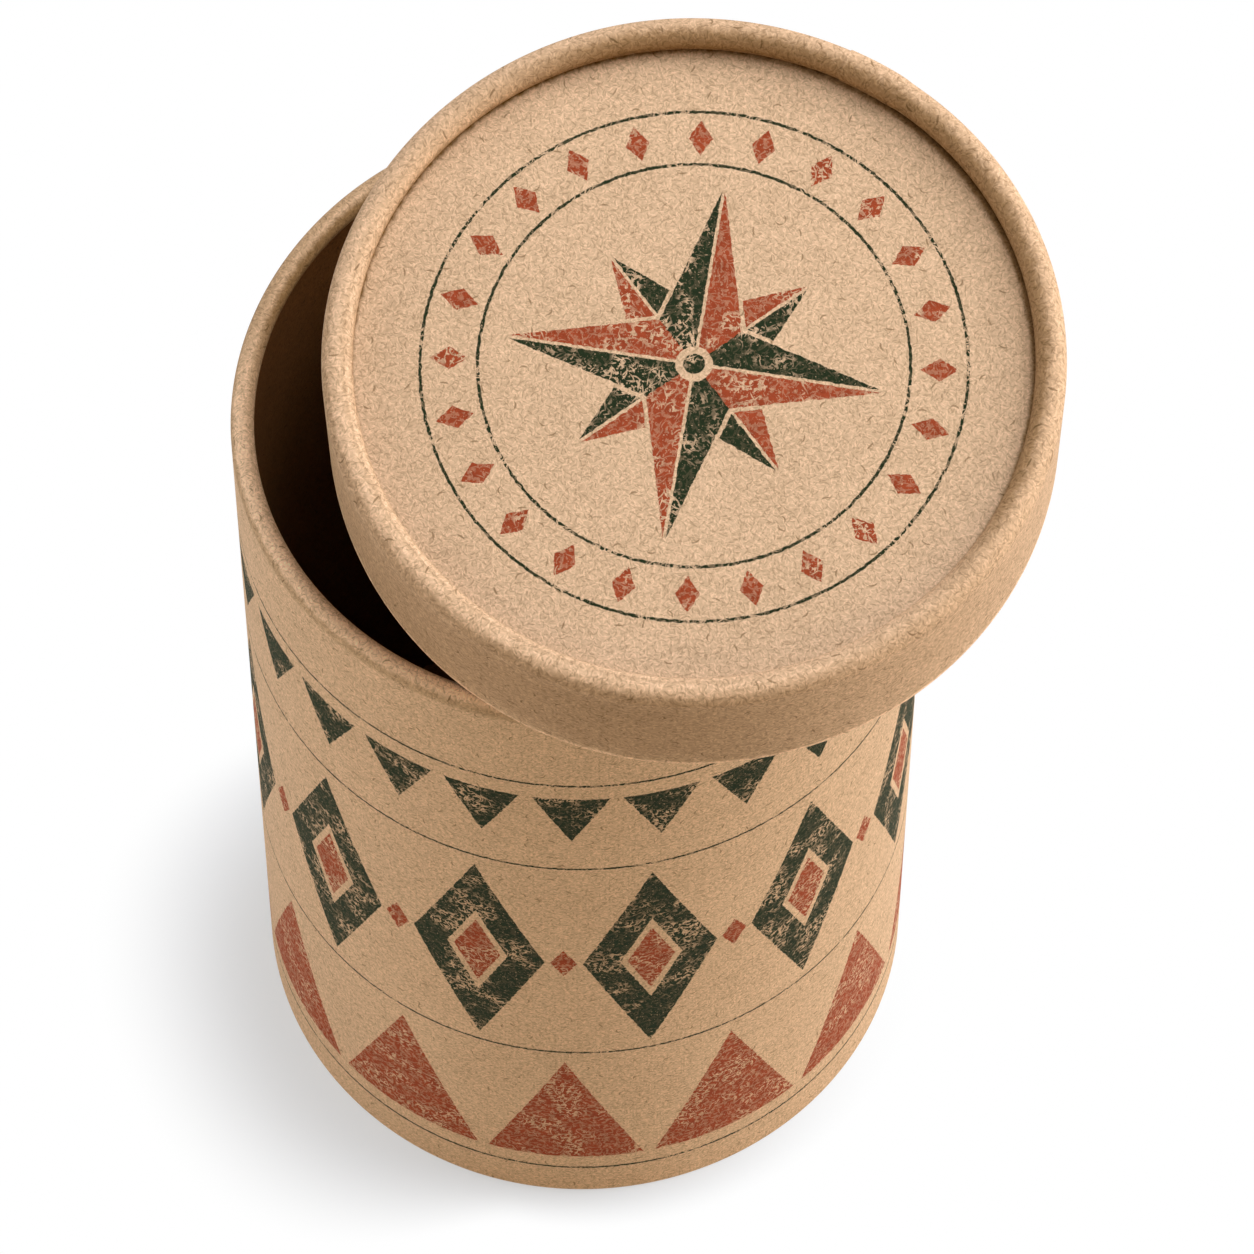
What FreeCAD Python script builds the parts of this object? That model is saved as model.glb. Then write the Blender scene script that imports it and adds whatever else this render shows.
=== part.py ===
# A round gift tube box of kraft paperboard: a tube with rolled edges and a set-in floor, and a lid that
# slides over it and here lies askew on the open mouth. Millimetres, +Z up. The origin is where the tube's
# axis meets the surface that the tube stands on.
import FreeCAD, Part
import math
import os

# Walls, from the outside in: printed wrap paper, wound board and liner paper, pasted together
wrap_thickness = 0.15
board_thickness = 0.7
liner_thickness = 0.15
paste_thickness = 0.02

# Rolled edges of the board, drawn in straight steps so that the model stays light: in view, and hidden
roll_step_deg = 45.0
hidden_step_deg = 90.0

# Tube: its upper edge is rolled inwards to a round lip, its lower edge to a foot that is pressed flat
tube_diameter = 100.0
tube_height = 158.0
lip_radius = 1.5
lip_turn_deg = 225.0
foot_radius = 1.0
foot_flat = 1.2
foot_tail = 0.8

# Lid: its upper edge is rolled inwards to a fat rim, whose tail holds down a set-in disc
lid_clearance = 0.4
lid_height = 25.0
rim_radius = 2.0
rim_tail = 0.6

# Board discs that close the tube and the lid, faced with paper on both sides
disc_thickness = 1.5
facing_thickness = 0.15
disc_clearance = 0.1

# Lap seams of the wraps and liners: width of the overlap, and where it stands round the axis
lap_width = 8.0
tube_seam_deg = 90.0
lid_seam_deg = 60.0

# Lid as it lies on the mouth: pushed to one side and leaning, a hair above the lip that it meets
lid_shift_x = 15.8
lid_shift_y = -5.4
lid_lean_deg = 8.6
lid_lean_towards_deg = -93.6
lid_rest_gap = 0.3
lid_contact_steps = 720

# Thickness of the whole wall, and of a disc with its papers
board_depth = wrap_thickness + paste_thickness
liner_depth = board_depth + board_thickness + paste_thickness
wall = liner_depth + liner_thickness
stack_thickness = disc_thickness + 2 * (facing_thickness + paste_thickness)

# Radii that follow
tube_radius = tube_diameter / 2
tube_board_radius = tube_radius - board_depth
tube_liner_radius = tube_radius - liner_depth
tube_bore = tube_radius - wall
lid_bore = tube_radius + lid_clearance
lid_radius = lid_bore + wall
lid_board_radius = lid_radius - board_depth
lid_liner_radius = lid_radius - liner_depth
tube_disc_radius = tube_bore - liner_thickness - disc_clearance
lid_disc_radius = lid_bore - liner_thickness - disc_clearance

# Heights that follow: the floor rests on the foot's roll, and the lid's disc lies under the rim's roll
tube_wall_top = tube_height - lip_radius
lid_wall_top = lid_height - rim_radius
floor_stack_bottom = 2 * foot_radius + paste_thickness
lid_stack_bottom = lid_height - 2 * rim_radius - paste_thickness - stack_thickness

axis_foot = FreeCAD.Vector(0, 0, 0)
axis_way = FreeCAD.Vector(0, 0, 1)


def at(radius, height):
    return FreeCAD.Vector(radius, 0, height)


def roll(centre, radius, start_deg, end_deg, step_deg):
    """Points round a roll's section, counted from the side that faces away from the axis."""
    steps = math.ceil((end_deg - start_deg) / step_deg)
    angles = [math.radians(start_deg + step_deg * i) for i in range(steps)] + [math.radians(end_deg)]
    return [centre + at(radius * math.cos(a), radius * math.sin(a)) for a in angles]


def wind(outline, turn_deg=360):
    """A closed section wound round the axis."""
    return Part.Face(Part.makePolygon(outline + outline[:1])).revolve(axis_foot, axis_way, turn_deg)


def foot_side(depth, step_deg):
    """One side of the tube's foot, at a depth into the board, from its tail under the floor to the wall."""
    outer = at(tube_board_radius - foot_radius, foot_radius)
    inner = outer - at(foot_flat, 0)
    inner_roll = roll(inner, foot_radius - depth, 90, 270, hidden_step_deg)
    tail_end = inner_roll[0] + at(foot_tail, 0)
    return [tail_end] + inner_roll + roll(outer, foot_radius - depth, 270, 360, step_deg)


def lip_side(depth, step_deg):
    """One side of the tube's lip, at a depth into the board, from the wall over and in."""
    centre = at(tube_board_radius - lip_radius, tube_wall_top)
    return roll(centre, lip_radius - depth, 0, lip_turn_deg, step_deg)


def rim_side(depth, step_deg):
    """One side of the lid's wall and rim, at a depth into the board, from its lower edge to its tail."""
    centre = at(lid_board_radius - rim_radius, lid_wall_top)
    rim_roll = roll(centre, rim_radius - depth, 0, 270, step_deg)
    return [at(lid_board_radius - depth, 0)] + rim_roll + [rim_roll[-1] + at(rim_tail, 0)]


def wound_paper(outer_radius, thickness, bottom, top, seam_deg, lap_outwards):
    """A paper wound once round a wall, with its overlapping end on the side that is away from the wall."""
    inner_radius = outer_radius - thickness
    lap_radius = outer_radius if lap_outwards else inner_radius - thickness
    lap_turn_deg = math.degrees(lap_width / outer_radius)
    rings = []
    for radius, turn_deg in ((inner_radius, 360), (lap_radius, lap_turn_deg)):
        low = [at(radius, bottom), at(radius + thickness, bottom)]
        high = [at(radius + thickness, top), at(radius, top)]
        rings.append(wind(low + high, turn_deg))
    lap = rings[1].rotate(axis_foot, axis_way, seam_deg - lap_turn_deg / 2)
    return rings[0].fuse(lap).removeSplitter()


def disc_stack(radius, bottom):
    """A board disc with the papers pasted under and over it, from below."""
    layers = []
    for thickness in (facing_thickness, disc_thickness, facing_thickness):
        layers.append(Part.makeCylinder(radius, thickness, at(0, bottom)))
        bottom += thickness + paste_thickness
    return layers


def lid_rest_height(lean):
    """Height of the lid's lower edge at its axis, where the leaning skirt comes to the tube's lip."""
    reach = lip_radius + lid_rest_gap
    lip_middle = tube_board_radius - lip_radius
    heights = []
    for radius in (lid_bore, lid_bore + wall / 2, lid_radius):
        for step in range(lid_contact_steps):
            turn = 2 * math.pi * step / lid_contact_steps
            edge = lean.multVec(FreeCAD.Vector(radius * math.cos(turn), radius * math.sin(turn), 0))
            across = math.hypot(edge.x + lid_shift_x, edge.y + lid_shift_y) - lip_middle
            if abs(across) < reach:
                heights.append(tube_wall_top + math.sqrt(reach**2 - across**2) - edge.z)
    return max(heights)


# Tube, the papers pasted to its wall, and its floor
tube_outside = foot_side(0, roll_step_deg) + lip_side(0, roll_step_deg)
tube_inside = foot_side(board_thickness, hidden_step_deg) + lip_side(board_thickness, hidden_step_deg)
tube = wind(tube_outside + tube_inside[::-1])
tube_wrap = wound_paper(tube_radius, wrap_thickness, foot_radius, tube_wall_top, tube_seam_deg, True)
tube_liner = wound_paper(tube_liner_radius, liner_thickness, foot_radius, tube_wall_top, tube_seam_deg, False)
tube_underside_paper, tube_floor_disc, tube_floor_paper = disc_stack(tube_disc_radius, floor_stack_bottom)

# Lid, the papers pasted to its wall, and its disc
lid_ring = wind(rim_side(0, roll_step_deg) + rim_side(board_thickness, hidden_step_deg)[::-1])
lid_wrap = wound_paper(lid_radius, wrap_thickness, 0, lid_wall_top, lid_seam_deg, True)
lid_liner = wound_paper(lid_liner_radius, liner_thickness, 0, lid_wall_top, lid_seam_deg, False)
lid_underside_paper, lid_disc, lid_top_paper = disc_stack(lid_disc_radius, lid_stack_bottom)

tube_pieces = {
    "tube": tube,
    "tube_wrap": tube_wrap,
    "tube_liner": tube_liner,
    "tube_floor_disc": tube_floor_disc,
    "tube_floor_paper": tube_floor_paper,
    "tube_underside_paper": tube_underside_paper,
}
lid_pieces = {
    "lid_ring": lid_ring,
    "lid_wrap": lid_wrap,
    "lid_liner": lid_liner,
    "lid_disc": lid_disc,
    "lid_top_paper": lid_top_paper,
    "lid_underside_paper": lid_underside_paper,
}

# The lid leans towards its lower side and lies askew on the mouth
lean_way = math.radians(lid_lean_towards_deg)
lean = FreeCAD.Rotation(FreeCAD.Vector(-math.sin(lean_way), math.cos(lean_way), 0), lid_lean_deg)
lid_place = FreeCAD.Placement(FreeCAD.Vector(lid_shift_x, lid_shift_y, lid_rest_height(lean)), lean)
for piece in lid_pieces.values():
    piece.Placement = lid_place.multiply(piece.Placement)

os.makedirs("parts", exist_ok=True)
for name, piece in {**tube_pieces, **lid_pieces}.items():
    piece.exportStep(f"parts/{name}.step")
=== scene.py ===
import bmesh
import bpy
import math
from mathutils import Matrix, Vector


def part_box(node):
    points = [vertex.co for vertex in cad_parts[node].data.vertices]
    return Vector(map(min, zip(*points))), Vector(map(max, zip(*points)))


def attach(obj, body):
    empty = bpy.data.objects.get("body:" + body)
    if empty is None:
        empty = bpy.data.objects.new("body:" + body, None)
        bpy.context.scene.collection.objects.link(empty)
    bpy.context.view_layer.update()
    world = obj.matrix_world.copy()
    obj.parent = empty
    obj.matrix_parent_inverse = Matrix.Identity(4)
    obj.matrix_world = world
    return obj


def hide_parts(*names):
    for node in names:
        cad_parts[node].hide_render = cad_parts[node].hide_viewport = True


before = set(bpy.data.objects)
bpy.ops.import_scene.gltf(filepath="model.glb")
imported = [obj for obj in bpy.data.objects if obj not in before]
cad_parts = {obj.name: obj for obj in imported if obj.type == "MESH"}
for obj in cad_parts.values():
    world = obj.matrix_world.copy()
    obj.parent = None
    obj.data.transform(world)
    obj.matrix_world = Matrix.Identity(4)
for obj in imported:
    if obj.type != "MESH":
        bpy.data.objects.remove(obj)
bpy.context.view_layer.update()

# Tube board: kraft board wound into a cylinder. Its upper edge is rolled inwards to a round lip, and its
# lower edge is rolled under to a foot that is pressed flat. It is one wall of even thickness all the way.
mm = 0.001
board_thickness = 0.7 * mm
tube_board_radius = 49.83 * mm
tube_height = 158 * mm
lip_radius = 1.5 * mm
lip_turn = 225
foot_radius = 1.0 * mm
foot_flat = 1.2 * mm
foot_tail = 0.8 * mm
roll_facet = 9
sharp_from = 50
tube_waves = ((2, 0.10 * mm, 0.6), (3, 0.05 * mm, 2.1), (5, 0.03 * mm, 4.0))
board_colour = (0.56, 0.37, 0.22)
dark_fibre_share = (0.53, 0.50, 0.43)
pale_fibre_share = (1.485, 1.5, 1.545)


def begin(radius, height):
    """A section that starts as one point, beside the axis that it will be turned round."""
    section = bmesh.new()
    section.verts.new((radius, 0, height))
    return section


def run_to(section, radius, height):
    """The section goes on straight."""
    section.verts.ensure_lookup_table()
    end = bmesh.ops.extrude_vert_indiv(section, verts=[section.verts[-1]])["verts"][0]
    end.co = (radius, 0, height)


def curl(section, radius, height, turn):
    """The section goes on in an arc of so many degrees round the middle of a roll."""
    section.verts.ensure_lookup_table()
    bmesh.ops.spin(section, geom=[section.verts[-1]], cent=(radius, 0, height), axis=(0, -1, 0),
                   angle=math.radians(turn), steps=math.ceil(turn / roll_facet))


def measure(section):
    """Each point of the section is told how far along the sheet it lies."""
    section.verts.ensure_lookup_table()
    along = section.verts.layers.float.new("along")
    for last, vert in zip(section.verts[:], section.verts[1:]):
        vert[along] = last[along] + (vert.co - last.co).length


def turn_round(section, steps=288):
    """The section is turned once round the axis to a ring."""
    measure(section)
    bmesh.ops.spin(section, geom=section.verts[:] + section.edges[:], cent=(0, 0, 0), axis=(0, 0, 1),
                   angle=2 * math.pi, steps=steps, use_merge=True)
    bmesh.ops.remove_doubles(section, verts=section.verts, dist=1e-7)


def face(section, outwards):
    """All faces of a sheet look away from the axis at its widest, or towards it."""
    bmesh.ops.recalc_face_normals(section, faces=section.faces)
    widest = max(section.faces, key=lambda side: side.calc_center_median().xy.length)
    if (widest.normal.xy.dot(widest.calc_center_median().xy) > 0) != outwards:
        bmesh.ops.reverse_faces(section, faces=section.faces)
    section.normal_update()


def thicken(section, thickness):
    """The sheet gets its thickness behind the side that its faces look from."""
    bmesh.ops.solidify(section, geom=section.faces[:], thickness=thickness)
    bmesh.ops.recalc_face_normals(section, faces=section.faces)


def lay_flat(section, radius):
    """A map of the sheet laid flat, in metres: round from the front, and along the section."""
    flat = section.loops.layers.uv.new("laid_flat")
    along = section.verts.layers.float["along"]
    for side in section.faces:
        turns = [math.atan2(vert.co.x, -vert.co.y) for vert in side.verts]
        if max(turns) - min(turns) > math.pi:
            turns = [turn + 2 * math.pi if turn < 0 else turn for turn in turns]
        for loop, turn in zip(side.loops, turns):
            loop[flat].uv = (turn * radius, loop.vert[along])


def wave(section, waves):
    """Paper rings are never quite round: a few slow waves, the same for all layers of a wall."""
    for vert in section.verts:
        turn = math.atan2(vert.co.y, vert.co.x)
        out = sum(size * math.sin(count * turn + start) for count, size, start in waves)
        vert.co += Vector((math.cos(turn), math.sin(turn), 0)) * out


def make_piece(section, name, node, body, material, place=Matrix.Identity(4)):
    """The mesh becomes a piece of the box that stands for its node and moves with its body."""
    bmesh.ops.transform(section, matrix=place, verts=section.verts)
    mesh = bpy.data.meshes.new(name)
    section.to_mesh(mesh)
    section.free()
    mesh.shade_smooth()
    mesh.set_sharp_from_angle(angle=math.radians(sharp_from))
    mesh.materials.append(material)
    piece = bpy.data.objects.new(name, mesh)
    bpy.context.scene.collection.objects.link(piece)
    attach(piece, body)
    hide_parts(node)


def put(tree, kind, feeds, **settings):
    """A node with its settings made and its sockets fed, by a value or from another node."""
    node = tree.nodes.new("ShaderNode" + kind)
    for name, value in settings.items():
        setattr(node, name, value)
    for socket, value in feeds.items():
        if isinstance(value, bpy.types.NodeSocket):
            tree.links.new(value, node.inputs[socket])
        else:
            node.inputs[socket].default_value = value
    return node


def calc(tree, operation, *values):
    """One step of arithmetic between sockets and numbers."""
    return put(tree, "Math", dict(enumerate(values)), operation=operation).outputs[0]


def ease(tree, value, start, end):
    """0 before the start, 1 after the end, eased between."""
    feeds = {"Value": value, "From Min": start, "From Max": end}
    return put(tree, "MapRange", feeds, interpolation_type="SMOOTHSTEP").outputs[0]


def grain(tree, place, size, detail=2.0):
    """Soft noise, 0 to 1, whose patches are about so large."""
    feeds = {"Vector": place, "Scale": 1 / size, "Detail": detail, "Roughness": 0.6}
    return put(tree, "TexNoise", feeds, noise_dimensions="2D").outputs[0]


def fibres(tree, place, shift, spacing, length, width):
    """Short curled fibres that lie every way, one to each patch: 1 on a fibre, and the patch's chance."""
    most_bend = 1.2 / length
    moved = put(tree, "VectorMath", {0: place, 1: (shift, 0.7 * shift, 0)}, operation="ADD").outputs[0]
    patch = put(tree, "TexVoronoi", {"Vector": moved, "Scale": 1 / spacing}, voronoi_dimensions="2D")
    feeds = {0: moved, 1: patch.outputs["Position"]}
    away = put(tree, "VectorMath", feeds, operation="SUBTRACT").outputs[0]
    chance = put(tree, "SeparateColor", {0: patch.outputs["Color"]})
    angle = calc(tree, "MULTIPLY", chance.outputs[0], 2 * math.pi)
    turned = put(tree, "VectorRotate", {"Vector": away, "Angle": angle}, rotation_type="Z_AXIS").outputs[0]
    axes = put(tree, "SeparateXYZ", {0: turned})
    bend = calc(tree, "MULTIPLY_ADD", chance.outputs[1], 2 * most_bend, -most_bend)
    bow = calc(tree, "MULTIPLY", calc(tree, "MULTIPLY", axes.outputs[0], axes.outputs[0]), bend)
    across = calc(tree, "DIVIDE", calc(tree, "ADD", axes.outputs[1], bow), width / 2)
    along = calc(tree, "DIVIDE", axes.outputs[0], length / 2)
    reach = put(tree, "CombineXYZ", {0: along, 1: across})
    off = put(tree, "VectorMath", {0: reach.outputs[0]}, operation="LENGTH").outputs["Value"]
    return ease(tree, off, 1.15, 0.6), chance.outputs[2]


def felt(tree, place, layers):
    """Several layers of fibres over each other."""
    over = None
    for layer in layers:
        fibre = fibres(tree, place, *layer)[0]
        over = fibre if over is None else calc(tree, "MAXIMUM", over, fibre)
    return over


def curls(tree, place, size, lines):
    """Matted curls, which follow the contour lines of soft noise: 0 to 1."""
    swing = calc(tree, "SINE", calc(tree, "MULTIPLY", grain(tree, place, size, 1.0), 2 * math.pi * lines))
    return calc(tree, "MULTIPLY_ADD", swing, 0.5, 0.5)


def blend(tree, share, first, second):
    """A colour between two."""
    return put(tree, "Mix", {0: share, 6: first, 7: second}, data_type="RGBA").outputs[2]


def kraft(name, colour, laid_flat=True, seed=0.0, coarse=1.0, contrast=1.0):
    """Unbleached kraft: matted light and dark fibres, mottling, and flecks of bark."""
    material = bpy.data.materials.new(name)
    material.use_nodes = True
    tree = material.node_tree
    shader = tree.nodes["Principled BSDF"]
    if laid_flat:
        sheet_place = put(tree, "UVMap", {}, uv_map="laid_flat").outputs[0]
    else:
        sheet_place = put(tree, "TexCoord", {}).outputs["Object"]
    place = put(tree, "Mapping", {"Vector": sheet_place, "Location": (seed, 0.37 * seed, 0),
                                  "Scale": (1 / coarse, 1 / coarse, 1)}).outputs[0]
    mottle = grain(tree, place, 16 * mm, 3)
    cloud = grain(tree, place, 2.8 * mm, 4)
    fine = grain(tree, place, 0.42 * mm, 3)
    curl_large = curls(tree, place, 1.9 * mm, 3.5)
    curl_small = curls(tree, place, 1.2 * mm, 3)
    light = felt(tree, place, ((0.011, 1.0 * mm, 1.1 * mm, 0.24 * mm),
                               (0.127, 0.8 * mm, 0.9 * mm, 0.21 * mm)))
    dark = felt(tree, place, ((0.053, 0.9 * mm, 1.0 * mm, 0.22 * mm),
                              (0.201, 1.3 * mm, 1.6 * mm, 0.20 * mm)))
    fleck, chance = fibres(tree, place, 0.317, 4.2 * mm, 1.3 * mm, 0.26 * mm)
    fleck = calc(tree, "MULTIPLY", fleck, ease(tree, chance, 0.25, 0.65))
    tone = 0.53
    for layer, weight in ((mottle, 0.14), (cloud, 0.24), (fine, 0.44), (curl_large, 0.08),
                          (curl_small, 0.10), (light, 0.17), (dark, -0.20), (fleck, -0.55)):
        tone = calc(tree, "MULTIPLY_ADD", layer, weight, tone)
    deep = [share * part for share, part in zip(dark_fibre_share, colour)] + [1]
    pale = [share * part for share, part in zip(pale_fibre_share, colour)] + [1]
    shade = blend(tree, calc(tree, "MULTIPLY_ADD", tone, contrast, 0.5 - contrast), deep, pale)
    height = calc(tree, "MULTIPLY_ADD", dark, -0.6, calc(tree, "ADD", fine, light))
    bump = put(tree, "Bump", {"Strength": 0.4, "Distance": 0.05 * mm, "Height": height})
    rough = calc(tree, "MULTIPLY_ADD", fine, 0.16, 0.76)
    tree.links.new(shade, shader.inputs["Base Color"])
    tree.links.new(rough, shader.inputs["Roughness"])
    tree.links.new(bump.outputs[0], shader.inputs["Normal"])
    shader.inputs["Specular IOR Level"].default_value = 0.1
    return material


foot_outer = tube_board_radius - foot_radius
foot_inner = foot_outer - foot_flat
section = begin(foot_inner + foot_tail, 2 * foot_radius)
run_to(section, foot_inner, 2 * foot_radius)
curl(section, foot_inner, foot_radius, 180)
run_to(section, foot_outer, 0)
curl(section, foot_outer, foot_radius, 90)
run_to(section, tube_board_radius, tube_height - lip_radius)
curl(section, tube_board_radius - lip_radius, tube_height - lip_radius, lip_turn)
turn_round(section)
face(section, outwards=True)
thicken(section, board_thickness)
lay_flat(section, tube_board_radius)
wave(section, tube_waves)
raw_board = kraft("raw_kraft_board", board_colour)
make_piece(section, "tube_board", "tube", "tube", raw_board)

# Tube wrap: kraft paper, block printed flat in two inks and then pasted round the board. It was rolled over
# the lip and tucked round the foot with the board, and its ends overlap in a straight seam at the back.
paper_thickness = 0.15 * mm
paste = 0.02 * mm
lap_width = 8 * mm
lap_climb = 2.5 * mm
lap_lift = 1.05 * paper_thickness
tube_seam = 90
wrap_under_foot = 50
wrap_over_lip = 205
# The side of the lip's painted highlight, in degrees from the front
lip_highlight_side = -45
# A little lighter than the lid's plain paper: partly painted light on the tube's wall
wrap_colour = (0.650, 0.441, 0.278)
green_ink = (0.014, 0.024, 0.009)
terracotta_ink = (0.315, 0.056, 0.021)
ink_edge = 0.05 * mm
# Tint of the bands of painted highlight and painted shade
painted_band_tint = (0.9, 1.0, 1.2)


def wind_round(sheet, seam, outwards, steps=300):
    """The sheet is wound once round, and its last end climbs over the first."""
    measure(sheet)
    points = len(sheet.verts)
    radius = max(vert.co.x for vert in sheet.verts)
    lap = lap_width / radius
    climb = lap_climb / radius
    start = Matrix.Rotation(math.radians(seam) - lap / 2, 3, "Z")
    bmesh.ops.rotate(sheet, verts=sheet.verts, cent=(0, 0, 0), matrix=start)
    bmesh.ops.spin(sheet, geom=sheet.verts[:] + sheet.edges[:], cent=(0, 0, 0), axis=(0, 0, 1),
                   angle=2 * math.pi + lap, steps=steps)
    face(sheet, outwards)
    sheet.verts.ensure_lookup_table()
    lifts = []
    for index, vert in enumerate(sheet.verts):
        turn = index // points * (2 * math.pi + lap) / steps
        share = min(1, max(0, (turn - 2 * math.pi + climb) / climb))
        lifts.append(vert.normal * lap_lift * share * share * (3 - 2 * share))
    for vert, lift in zip(sheet.verts, lifts):
        vert.co += lift


def ragged(tree, place, amount):
    """The edges of a print wander a little, as ink does on rough paper."""
    feeds = {"Vector": place, "Scale": 1 / (0.9 * mm), "Detail": 3.0}
    noise = put(tree, "TexNoise", feeds, noise_dimensions="2D").outputs["Color"]
    feeds = {0: noise, 1: (2 * amount, 2 * amount, 0), 2: (-amount, -amount, 0)}
    stray = put(tree, "VectorMath", feeds, operation="MULTIPLY_ADD").outputs[0]
    return put(tree, "VectorMath", {0: place, 1: stray}, operation="ADD").outputs[0]


def paint_band(material, along, middle, reach, change, share=1.0):
    """A band of painted highlight where the change is above zero, and of painted shade where it is below:
    it changes by so much, times the share.
    """
    tree = material.node_tree
    base = tree.nodes["Principled BSDF"].inputs["Base Color"]
    flat = put(tree, "UVMap", {}, uv_map="laid_flat").outputs[0]
    wander = 0.6 * reach
    stray = calc(tree, "MULTIPLY_ADD", grain(tree, flat, 1.6 * mm, 4), wander, along)
    off = calc(tree, "ABSOLUTE", calc(tree, "SUBTRACT", stray, middle + wander / 2))
    band = calc(tree, "MULTIPLY", ease(tree, off, reach, 0.3 * reach), share)
    feeds = {0: band, 1: [part * change for part in painted_band_tint], 2: (1, 1, 1)}
    tone = put(tree, "VectorMath", feeds, operation="MULTIPLY_ADD").outputs[0]
    feeds = {0: base.links[0].from_socket, 1: tone}
    tree.links.new(put(tree, "VectorMath", feeds, operation="MULTIPLY").outputs[0], base)


def paint_roll_bands(material, along, start, radius, bands):
    """Bands of a rolled edge, each so many degrees round from where the roll starts."""
    for turn, reach, change, share in bands:
        paint_band(material, along, start + math.radians(turn) * radius, reach, change, share)


def sheet_axes(tree):
    """How far a point lies round from the front, and how far along the section, on the sheet laid flat."""
    axes = put(tree, "SeparateXYZ", {0: put(tree, "UVMap", {}, uv_map="laid_flat").outputs[0]})
    return axes.outputs[0], axes.outputs[1]


def turned_to(tree, side, aside, radius):
    """How far a point of a wall is turned to a side, in degrees from the front: 1 at it, -1 opposite."""
    away = calc(tree, "SUBTRACT", calc(tree, "DIVIDE", aside, radius), math.radians(side))
    return calc(tree, "COSINE", away)


def inside(tree, reach, size):
    """1 where the reach is under one, with an edge a hair soft on a motif of that size."""
    soft = ink_edge / size
    return ease(tree, reach, 1 + soft, 1 - soft)


def lozenge(tree, aside, up, half_width, half_height):
    """A lozenge, from how far a point lies beside and above its middle."""
    reach = calc(tree, "MULTIPLY_ADD", calc(tree, "ABSOLUTE", up), 1 / half_height,
                 calc(tree, "DIVIDE", aside, half_width))
    return inside(tree, reach, half_width)


def tooth(tree, aside, up, half_width, height):
    """A triangle that stands on its base, or hangs from it where the height is below zero."""
    reach = calc(tree, "MULTIPLY_ADD", up, 1 / height, calc(tree, "DIVIDE", aside, half_width))
    hair = 0.004
    base = ease(tree, calc(tree, "DIVIDE", up, height), -hair, hair)
    return calc(tree, "MULTIPLY", inside(tree, reach, half_width), base)


def rule(tree, off, middle, width):
    """A thin line at that distance."""
    away = calc(tree, "ABSOLUTE", calc(tree, "SUBTRACT", off, middle))
    return inside(tree, calc(tree, "DIVIDE", away, width / 2), width / 2)


def either(tree, *masks):
    """Where any of the masks is."""
    whole = masks[0]
    for mask in masks[1:]:
        whole = calc(tree, "MAXIMUM", whole, mask)
    return whole


def ink_over(material, mask, colour, place, even):
    """Block printing: ink flakes and scratches off in patches, or more evenly, and has pinholes."""
    tree = material.node_tree
    base = tree.nodes["Principled BSDF"].inputs["Base Color"]
    patches = ease(tree, grain(tree, place, 7 * mm, 4), 0.45, 0.62)
    ink_wear_and_lip_highlight = calc(tree, "MULTIPLY_ADD", patches, 1 - even, even)
    flakes = ease(tree, grain(tree, place, 0.8 * mm, 5), 0.53, 0.58)
    scratches = felt(tree, place, ((0.41, 1.9 * mm, 2.4 * mm, 0.22 * mm),
                                   (0.53, 1.3 * mm, 1.5 * mm, 0.2 * mm)))
    pinholes = ease(tree, grain(tree, place, 0.45 * mm, 2), 0.66, 0.74)
    lost = either(tree, calc(tree, "MULTIPLY", either(tree, flakes, scratches), ink_wear_and_lip_highlight),
                  calc(tree, "MULTIPLY", pinholes, 0.7))
    cover = calc(tree, "MULTIPLY", mask, calc(tree, "MULTIPLY_ADD", lost, -0.88, 1.0))
    depth = calc(tree, "MULTIPLY_ADD", grain(tree, place, 2.2 * mm, 4), 0.7, 0.65)
    tint = put(tree, "VectorMath", {0: colour, "Scale": depth}, operation="SCALE").outputs[0]
    tree.links.new(blend(tree, cover, base.links[0].from_socket, tint), base)


def print_bands(material):
    """Round the wall, from below: a rule, teeth, a rule, tall lozenges, a rule, hanging teeth, a rule."""
    tree = material.node_tree
    flat = put(tree, "UVMap", {}, uv_map="laid_flat").outputs[0]
    axes = put(tree, "SeparateXYZ", {0: ragged(tree, flat, 0.22 * mm)})
    up = axes.outputs[1]

    def beside(count, start):
        """How far round a point lies from the middle of the nearest of so many motifs."""
        pitch = 2 * math.pi * tube_board_radius / count
        moved = calc(tree, "ADD", axes.outputs[0], start * pitch)
        return calc(tree, "ABSOLUTE", calc(tree, "WRAP", moved, pitch / 2, -pitch / 2))

    def above(height):
        """How far up from that height a point lies."""
        return calc(tree, "SUBTRACT", up, height)

    motifs = 12
    start = 0.1
    between = start + 0.5
    middle = 81 * mm
    teeth = tooth(tree, beside(motifs, start), above(13 * mm), 12.2 * mm, 34 * mm)
    cores = lozenge(tree, beside(motifs, between), above(middle), 3.6 * mm, 10 * mm)
    seeds = lozenge(tree, beside(motifs, start), above(middle), 2.0 * mm, 4.2 * mm)
    tall = lozenge(tree, beside(motifs, between), above(middle), 10.2 * mm, 28 * mm)
    gaps = lozenge(tree, beside(motifs, between), above(middle), 4.7 * mm, 13 * mm)
    tall = calc(tree, "SUBTRACT", tall, gaps)
    hanging = tooth(tree, beside(2 * motifs, start), above(134 * mm), 5.6 * mm, -13 * mm)
    rules = [rule(tree, up, height * mm, 0.5 * mm) for height in (9, 50.5, 112, 138)]
    ink_over(material, either(tree, teeth, cores, seeds), terracotta_ink, flat, even=0.4)
    ink_over(material, either(tree, tall, hanging, *rules), green_ink, flat, even=0.08)


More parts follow.
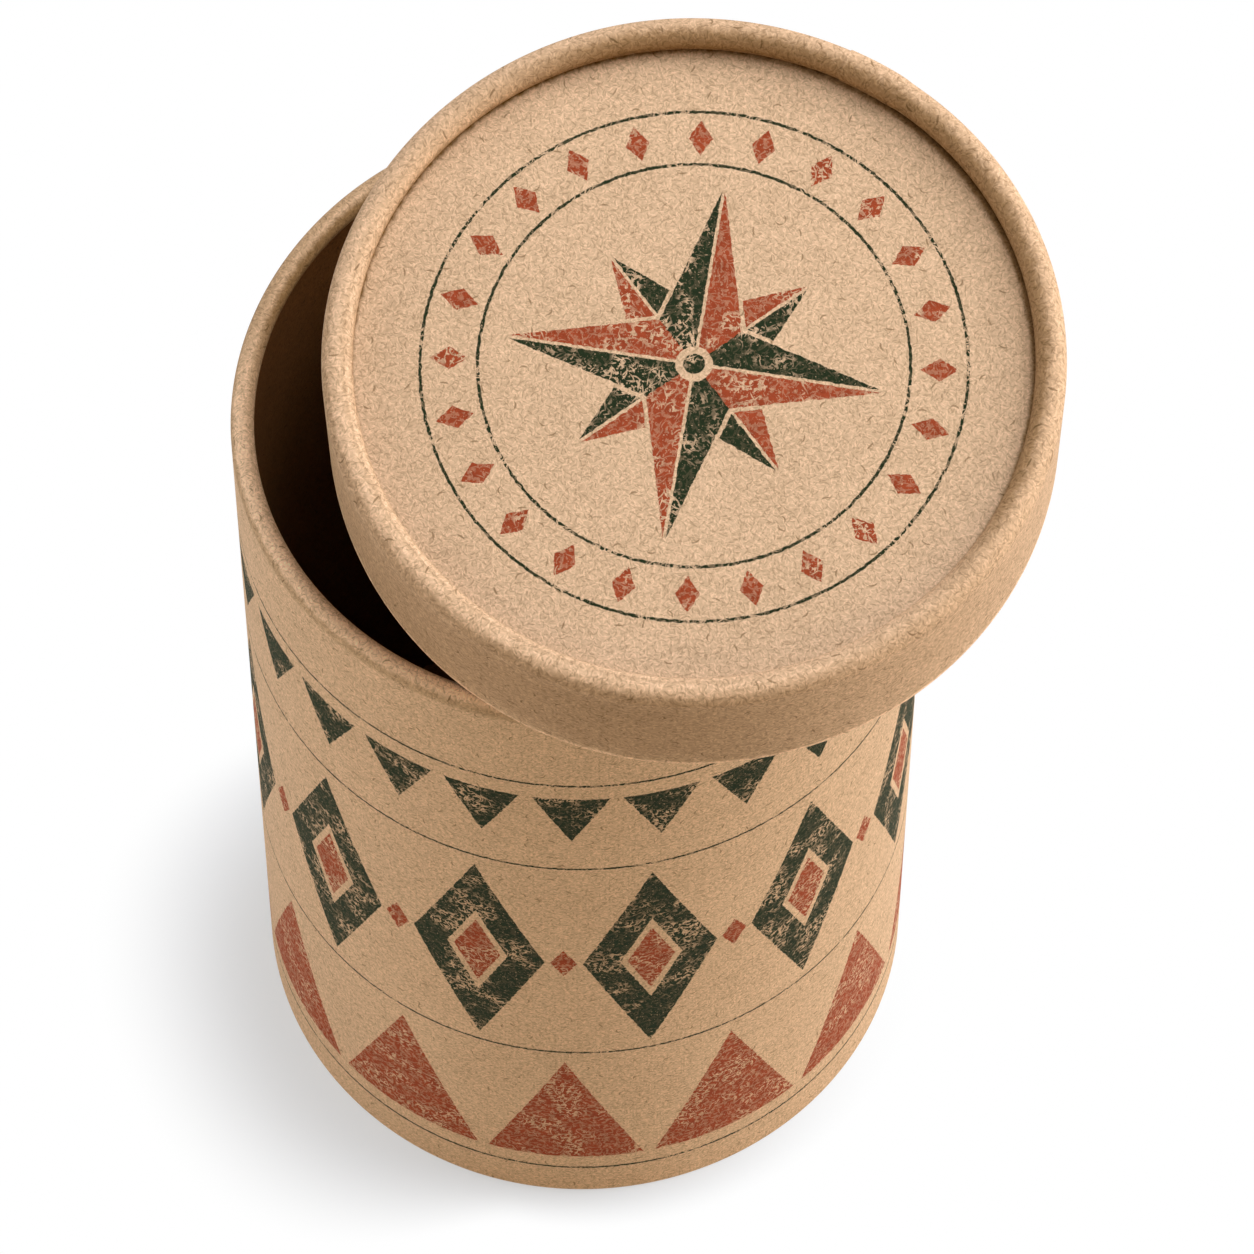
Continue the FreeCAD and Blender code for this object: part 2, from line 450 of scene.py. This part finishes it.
roll_outside = paste + paper_thickness
wrap_outside = tube_board_radius + roll_outside
under = math.radians(-wrap_under_foot)
foot_wrap = foot_radius + roll_outside
under_length = -under * foot_wrap
sheet = begin(foot_outer + foot_wrap * math.cos(under), foot_radius + foot_wrap * math.sin(under))
curl(sheet, foot_outer, foot_radius, wrap_under_foot)
run_to(sheet, wrap_outside, tube_height - lip_radius)
curl(sheet, tube_board_radius - lip_radius, tube_height - lip_radius, wrap_over_lip)
wrap_length_to_lip = under_length + tube_height - lip_radius - foot_radius
wind_round(sheet, tube_seam, outwards=True)
thicken(sheet, paper_thickness)
lay_flat(sheet, tube_board_radius)
wave(sheet, tube_waves)
wrap_paper = kraft("printed_kraft_paper", wrap_colour, seed=0.5, coarse=1.05, contrast=1.2)

# Painted shade and highlight on the lip: it is darker where its roll starts, has a painted highlight along
# its roll on the front-left side, and painted shade on the other sides
tree = wrap_paper.node_tree
aside, along = sheet_axes(tree)
ink_wear_and_lip_highlight = ease(tree, turned_to(tree, lip_highlight_side, aside, tube_board_radius), 0.35, 0.85)
lip_painted_shade = calc(tree, "SUBTRACT", 1.0, ink_wear_and_lip_highlight)
lip_bands = ((8, 1.2 * mm, -0.24, 1.0), (80, 1.5 * mm, 0.4, ink_wear_and_lip_highlight),
             (50, 1.6 * mm, -0.25, lip_painted_shade), (160, 2.0 * mm, -0.6, lip_painted_shade))
paint_roll_bands(wrap_paper, along, wrap_length_to_lip, lip_radius + roll_outside, lip_bands)
print_bands(wrap_paper)
make_piece(sheet, "tube_wrap_paper", "tube_wrap", "tube", wrap_paper)

# Tube liner: a plain kraft sheet pasted inside the wall, from the foot to the lip's roll. Its seam stands
# behind the wrap's.
tube_liner_radius = tube_board_radius - board_thickness - paste - paper_thickness
# Its dark brown is partly painted shade, for the deep shade inside the tube and the lid
liner_colour = (0.19, 0.080, 0.024)
sheet = begin(tube_liner_radius, foot_radius)
run_to(sheet, tube_liner_radius, tube_height - lip_radius)
wind_round(sheet, tube_seam, outwards=False)
thicken(sheet, paper_thickness)
lay_flat(sheet, tube_board_radius)
wave(sheet, tube_waves)
liner_paper = kraft("kraft_liner_paper", liner_colour, seed=0.9)
make_piece(sheet, "tube_liner_paper", "tube_liner", "tube", liner_paper)

# Tube floor: a board disc with paper pasted on both faces, pushed down inside the tube until it lies on the
# roll of the foot. The CAD's own shapes stay.


def finish_node(node, material):
    """A CAD piece keeps its shape and gets its finish."""
    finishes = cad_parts[node].data.materials
    finishes.clear()
    finishes.append(material)


disc_board = kraft("kraft_disc_board", board_colour, laid_flat=False, seed=0.2)
disc_paper = kraft("kraft_disc_paper", liner_colour, laid_flat=False, seed=0.3)
under_paper = kraft("kraft_underside_paper", board_colour, laid_flat=False, seed=0.4)
finish_node("tube_floor_disc", disc_board)
finish_node("tube_floor_paper", disc_paper)
finish_node("tube_underside_paper", under_paper)

# Lid board: the same board wound a little wider. Its upper edge is rolled inwards to a fat rim, whose tail
# holds the lid's disc down. Its lower edge is cut square.
lid_board_radius = 51.27 * mm
lid_height = 25 * mm
rim_radius = 2.0 * mm
rim_turn = 270
rim_tail = 0.6 * mm
lid_waves = ((2, 0.12 * mm, 1.9), (3, 0.06 * mm, 0.3), (5, 0.04 * mm, 5.1))

# The lid lies askew and leaning, with the middle of its disc where the frame has it
lid_lean = 8.6
lid_lean_towards = -93.6
lid_disc_middle = 20.06 * mm
lean_way = math.radians(lid_lean_towards)
lean = Matrix.Rotation(math.radians(lid_lean), 4, Vector((-math.sin(lean_way), math.cos(lean_way), 0)))
disc_low, disc_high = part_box("lid_disc")
to_origin = Matrix.Translation((0, 0, -lid_disc_middle))
lid_place = Matrix.Translation((disc_low + disc_high) / 2) @ lean @ to_origin
rim_middle = lid_board_radius - rim_radius
section = begin(lid_board_radius, 0)
run_to(section, lid_board_radius, lid_height - rim_radius)
curl(section, rim_middle, lid_height - rim_radius, rim_turn)
run_to(section, rim_middle + rim_tail, lid_height - 2 * rim_radius)
turn_round(section)
face(section, outwards=True)
thicken(section, board_thickness)
lay_flat(section, lid_board_radius)
wave(section, lid_waves)
make_piece(section, "lid_board", "lid_ring", "lid", raw_board, lid_place)

# Lid wrap: plain kraft paper pasted round the lid's board and rolled in with its rim. It ends level with
# the cut lower edge, and overlaps at the back.
lid_seam = 60
wrap_over_rim = 228
painted_side = -50
# A little darker than the tube's wrap: partly painted shade on the lid's skirt
plain_colour = (0.60, 0.401, 0.254)
sheet = begin(lid_board_radius + roll_outside, 0)
run_to(sheet, lid_board_radius + roll_outside, lid_height - rim_radius)
curl(sheet, rim_middle, lid_height - rim_radius, wrap_over_rim)
wind_round(sheet, lid_seam, outwards=True)
thicken(sheet, paper_thickness)
lay_flat(sheet, lid_board_radius)
wave(sheet, lid_waves)
plain_paper = kraft("plain_kraft_paper", plain_colour, seed=1.3, coarse=1.25, contrast=1.25)

# Painted highlight along the cut edge all round. On the front-left side, painted shade on the skirt and a
# painted highlight on the rim. Painted shade on the rim's far side, and in its crease all round
tree = plain_paper.node_tree
aside, along = sheet_axes(tree)
towards_painted_side = turned_to(tree, painted_side, aside, lid_board_radius)
painted_side_share = ease(tree, towards_painted_side, 0.05, 0.85)
painted_far_shade = ease(tree, towards_painted_side, 0.1, -0.5)
paint_band(plain_paper, along, 0, 1.1 * mm, 0.6)
paint_band(plain_paper, along, 12 * mm, 20 * mm, -0.34, painted_side_share)
rim_bands = ((80, 1.5 * mm, 0.35, painted_side_share), (132, 0.6 * mm, 0.20, painted_side_share),
             (150, 3.2 * mm, -0.53, painted_far_shade), (205, 2.0 * mm, -0.4, 1.0))
paint_roll_bands(plain_paper, along, lid_height - rim_radius, rim_radius + roll_outside, rim_bands)
make_piece(sheet, "lid_wrap_paper", "lid_wrap", "lid", plain_paper, lid_place)

# Lid liner: a plain kraft sheet pasted inside the lid's wall, from its cut edge up to the rim's roll. It is
# the paper of the tube's liner, and its seam stands behind the lid wrap's.
lid_liner_radius = lid_board_radius - board_thickness - paste - paper_thickness
sheet = begin(lid_liner_radius, 0)
run_to(sheet, lid_liner_radius, lid_height - rim_radius)
wind_round(sheet, lid_seam, outwards=False)
thicken(sheet, paper_thickness)
lay_flat(sheet, lid_board_radius)
wave(sheet, lid_waves)
make_piece(sheet, "lid_liner_paper", "lid_liner", "lid", liner_paper, lid_place)

# Lid disc: board with paper pasted under it, pushed up inside the lid against the roll of the rim. The
# CAD's own shapes stay.
finish_node("lid_disc", disc_board)
finish_node("lid_underside_paper", under_paper)

# Lid top paper: a round of kraft paper, block printed with a star of eight points in a ring of lozenges. It
# was pasted on the disc before the rim was rolled over its edge.
lid_disc_radius = 50.15 * mm
top_paper_low = 20.83 * mm
print_turn = 9
crease_shade_towards = 15
top_colour = (0.625, 0.432, 0.282)


def print_star(material):
    """A star of four long and four short points, each half in one ink, with rules and lozenges round it."""
    tree = material.node_tree
    flat = put(tree, "UVMap", {}, uv_map="laid_flat").outputs[0]
    turned = put(tree, "Mapping", {"Vector": ragged(tree, flat, 0.2 * mm),
                                   "Rotation": (0, 0, math.radians(print_turn))}).outputs[0]
    axes = put(tree, "SeparateXYZ", {0: turned})
    out = put(tree, "VectorMath", {0: turned}, operation="LENGTH").outputs["Value"]
    turn = calc(tree, "ARCTAN2", axes.outputs[1], axes.outputs[0])

    def points(count, start, tip, notch):
        """How deep a point lies inside a star of so many tips, and how far beside the nearest tip."""
        step = 2 * math.pi / count
        beside = calc(tree, "WRAP", calc(tree, "ADD", turn, start * step), step / 2, -step / 2)
        ahead = calc(tree, "MULTIPLY", out, calc(tree, "COSINE", beside))
        aside = calc(tree, "MULTIPLY", out, calc(tree, "SINE", beside))
        notch_ahead = notch * math.cos(step / 2)
        notch_aside = notch * math.sin(step / 2)
        slant = math.hypot(notch_aside, tip - notch_ahead)
        fall = calc(tree, "MULTIPLY", calc(tree, "ABSOLUTE", aside), (notch_ahead - tip) / slant)
        depth = calc(tree, "MULTIPLY_ADD", calc(tree, "SUBTRACT", tip, ahead), notch_aside / slant, fall)
        return depth, aside

    def over(value, edge):
        """1 where the value is past the edge, which is a hair soft."""
        return ease(tree, value, edge - ink_edge, edge + ink_edge)

    def halves(tips, aside):
        """The tips' left and right halves, with a line of bare paper between them."""
        bare = 0.22 * mm
        left = calc(tree, "MULTIPLY", tips, over(aside, bare))
        right = calc(tree, "MULTIPLY", tips, over(calc(tree, "MULTIPLY", aside, -1), bare))
        return left, right

    notch = 8.2 * mm
    seed_count = 24
    seed_ring = 34 * mm
    dot_radius = 1.5 * mm
    long_depth, long_aside = points(4, 0, 27 * mm, notch)
    short_depth, short_aside = points(4, 0.5, 20 * mm, notch)
    long_point = over(long_depth, 0)
    clear = calc(tree, "SUBTRACT", 1.0, over(long_depth, -0.6 * mm))
    short_point = calc(tree, "MULTIPLY", over(short_depth, 0), clear)
    hole = over(out, 2.6 * mm)
    long_left, long_right = halves(long_point, long_aside)
    short_left, short_right = halves(short_point, short_aside)
    step = 2 * math.pi / seed_count
    beside = calc(tree, "WRAP", calc(tree, "ADD", turn, step / 2), step / 2, -step / 2)
    beside = calc(tree, "MULTIPLY", calc(tree, "ABSOLUTE", beside), seed_ring)
    seeds = lozenge(tree, beside, calc(tree, "SUBTRACT", out, seed_ring), 1.7 * mm, 2.7 * mm)
    green = calc(tree, "MULTIPLY", either(tree, long_left, short_right), hole)
    red = calc(tree, "MULTIPLY", either(tree, long_right, short_left), hole)
    dot = inside(tree, calc(tree, "DIVIDE", out, dot_radius), dot_radius)
    rings = [rule(tree, out, radius * mm, 0.45 * mm) for radius in (30, 38)]
    ink_over(material, either(tree, red, seeds), terracotta_ink, flat, even=0.3)
    ink_over(material, either(tree, green, dot, *rings), green_ink, flat, even=0.08)


def facing(tree, place, towards):
    """How far a place lies to that side, in degrees round from the right: 1 straight there, -1 behind."""
    way = (math.cos(math.radians(towards)), math.sin(math.radians(towards)), 0)
    dot = put(tree, "VectorMath", {0: place, 1: way}, operation="DOT_PRODUCT").outputs["Value"]
    away = put(tree, "VectorMath", {0: place}, operation="LENGTH").outputs["Value"]
    return calc(tree, "DIVIDE", dot, away)


top_paper_high = top_paper_low + paper_thickness
section = begin(0, top_paper_high)
for share in (0.1, 0.25, 0.5, 0.75, 0.9, 1.0):
    run_to(section, share * lid_disc_radius, top_paper_high)
turn_round(section)
bmesh.ops.recalc_face_normals(section, faces=section.faces)
section.faces.ensure_lookup_table()
if section.faces[0].normal.z < 0:
    bmesh.ops.reverse_faces(section, faces=section.faces)
section.normal_update()
thicken(section, paper_thickness)
flat = section.loops.layers.uv.new("laid_flat")
for side in section.faces:
    for loop in side.loops:
        loop[flat].uv = loop.vert.co.xy
star_paper = kraft("star_kraft_paper", top_colour, seed=1.9, coarse=1.05, contrast=1.15)

# Painted shade in the crease along the rim, in a wider band on one side
tree = star_paper.node_tree
flat = put(tree, "UVMap", {}, uv_map="laid_flat").outputs[0]
out = put(tree, "VectorMath", {0: flat}, operation="LENGTH").outputs["Value"]
crease = rim_middle - 0.9 * mm
paint_band(star_paper, out, crease, 1.5 * mm, -0.85)
crease_shade_side = ease(tree, facing(tree, flat, crease_shade_towards), 0.2, 0.8)
paint_band(star_paper, out, crease - 1.0 * mm, 1.0 * mm, -0.6, crease_shade_side)
print_star(star_paper)
make_piece(section, "lid_top_print", "lid_top_paper", "lid", star_paper, lid_place)

# Floor: a plain white sheet that the box stands on. The camera sees it part lit near the box, where the
# shadow is, and plain white away from it.
floor_reach = 3
floor_colour = (0.8, 0.8, 0.8, 1)
shadow_tint = (0.72, 0.80, 0.91, 1)
shadow_share = 0.54
darkest_towards = 222
longest_towards = 200
shadow_short = 7 * mm
shadow_long = 30 * mm


def background_seen(tree):
    """1 for what is seen straight, mirrored or through glass, and 0 for the light that a surface gets."""
    path = put(tree, "LightPath", {})
    rays = ("Is Camera Ray", "Is Glossy Ray", "Is Transmission Ray")
    return either(tree, *[path.outputs[ray] for ray in rays])


floor_sheet = bmesh.new()
bmesh.ops.create_grid(floor_sheet, x_segments=4, y_segments=4, size=floor_reach)
mesh = bpy.data.meshes.new("floor")
floor_sheet.to_mesh(mesh)
floor_sheet.free()
floor = bpy.data.objects.new("floor", mesh)
bpy.context.scene.collection.objects.link(floor)
paint = bpy.data.materials.new("floor_white")
paint.use_nodes = True
tree = paint.node_tree
lit = tree.nodes["Principled BSDF"]
lit.inputs["Base Color"].default_value = floor_colour
lit.inputs["Roughness"].default_value = 0.95
lit.inputs["Specular IOR Level"].default_value = 0.0
plain = put(tree, "Emission", {"Color": (1, 1, 1, 1), "Strength": 1.0})
shaded = put(tree, "BsdfDiffuse", {"Color": shadow_tint})
place = put(tree, "TexCoord", {}).outputs["Object"]

# The shadow is longest on one side of the box and deepest on another
away = put(tree, "VectorMath", {0: place}, operation="LENGTH").outputs["Value"]
longer = ease(tree, facing(tree, place, longest_towards), 0.5, 1.0)
reach = calc(tree, "MULTIPLY_ADD", longer, shadow_long - shadow_short, shadow_short)
past = calc(tree, "DIVIDE", calc(tree, "SUBTRACT", away, tube_board_radius), reach)
darker = ease(tree, facing(tree, place, darkest_towards), -0.8, 0.95)
depth = calc(tree, "MULTIPLY", darker, shadow_share)
share = calc(tree, "MULTIPLY", depth, ease(tree, past, 1.0, 0.0))
pale = put(tree, "MixShader", {0: share, 1: plain.outputs[0], 2: shaded.outputs[0]})
whole = put(tree, "MixShader", {0: background_seen(tree), 1: lit.outputs[0], 2: pale.outputs[0]})
tree.links.new(whole.outputs[0], tree.nodes["Material Output"].inputs["Surface"])
mesh.materials.append(paint)

# Light: a near softbox high behind on the right, one overhead, low ones on both sides, a warm one low in
# front, and a dim room.
lamp_aim = Vector((0, 0, 100 * mm))
room = bpy.data.worlds.new("room")
bpy.context.scene.world = room
room.use_nodes = True
tree = room.node_tree
dim = tree.nodes["Background"]
dim.inputs["Color"].default_value = (1.0, 0.9, 0.75, 1)
dim.inputs["Strength"].default_value = 0.02
white = put(tree, "Background", {"Color": (1, 1, 1, 1), "Strength": 1.0})
behind = put(tree, "MixShader", {0: background_seen(tree), 1: dim.outputs[0], 2: white.outputs[0]})
tree.links.new(behind.outputs[0], tree.nodes["World Output"].inputs["Surface"])


def softbox(name, turn, height, watts, colour=(1, 1, 1), away=1.9, size=1.2):
    """A square lamp that looks at the box from so many degrees round from the right, and up."""
    lamp = bpy.data.lights.new(name, "AREA")
    lamp.shape = "SQUARE"
    lamp.size = size
    lamp.energy = watts
    lamp.color = colour
    holder = bpy.data.objects.new(name, lamp)
    raised = Matrix.Rotation(math.radians(-height), 3, "Y") @ Vector((1, 0, 0))
    way = Matrix.Rotation(math.radians(turn), 3, "Z") @ raised
    holder.location = lamp_aim + away * way
    holder.rotation_euler = (-way).to_track_quat("-Z", "Y").to_euler()
    bpy.context.scene.collection.objects.link(holder)


softbox("softbox_key", turn=36, height=54, watts=8.4, away=0.9, size=0.9)
softbox("softbox_over", turn=0, height=88, watts=6)
softbox("softbox_right", turn=0, height=15, watts=20, colour=(1, 0.95, 0.88))
softbox("softbox_left", turn=180, height=15, watts=17)
softbox("softbox_front", turn=270, height=15, watts=7, colour=(1, 0.72, 0.3))

# Camera: at the photograph's viewing angle, high in front of the box, with a long lens from about 1.3 m.
# Its place is given along its own axes, from the middle of the box's foot.
photo_width = 1254
sensor_width = 36
focal_pixels = 7886.821
elevation = math.radians(61.512)
tilt = math.radians(0.29)
eye_right = 6.717 * mm
eye_up = 44.503 * mm
eye_back = 1259.657 * mm
right = Vector((1, 0, 0))
ahead = Vector((0, math.cos(elevation), -math.sin(elevation)))
up = Vector((0, math.sin(elevation), math.cos(elevation)))
roll = Matrix.Rotation(-tilt, 3, ahead)
right = roll @ right
up = roll @ up
eye = eye_right * right + eye_up * up - eye_back * ahead
lens = bpy.data.cameras.new("camera")
lens.sensor_width = sensor_width
lens.lens = focal_pixels / photo_width * sensor_width
camera = bpy.data.objects.new("camera", lens)
camera.matrix_world = Matrix.Translation(eye) @ Matrix((right, up, -ahead)).transposed().to_4x4()
bpy.context.scene.collection.objects.link(camera)
bpy.context.scene.camera = camera
bpy.context.scene.view_settings.view_transform = "Standard"
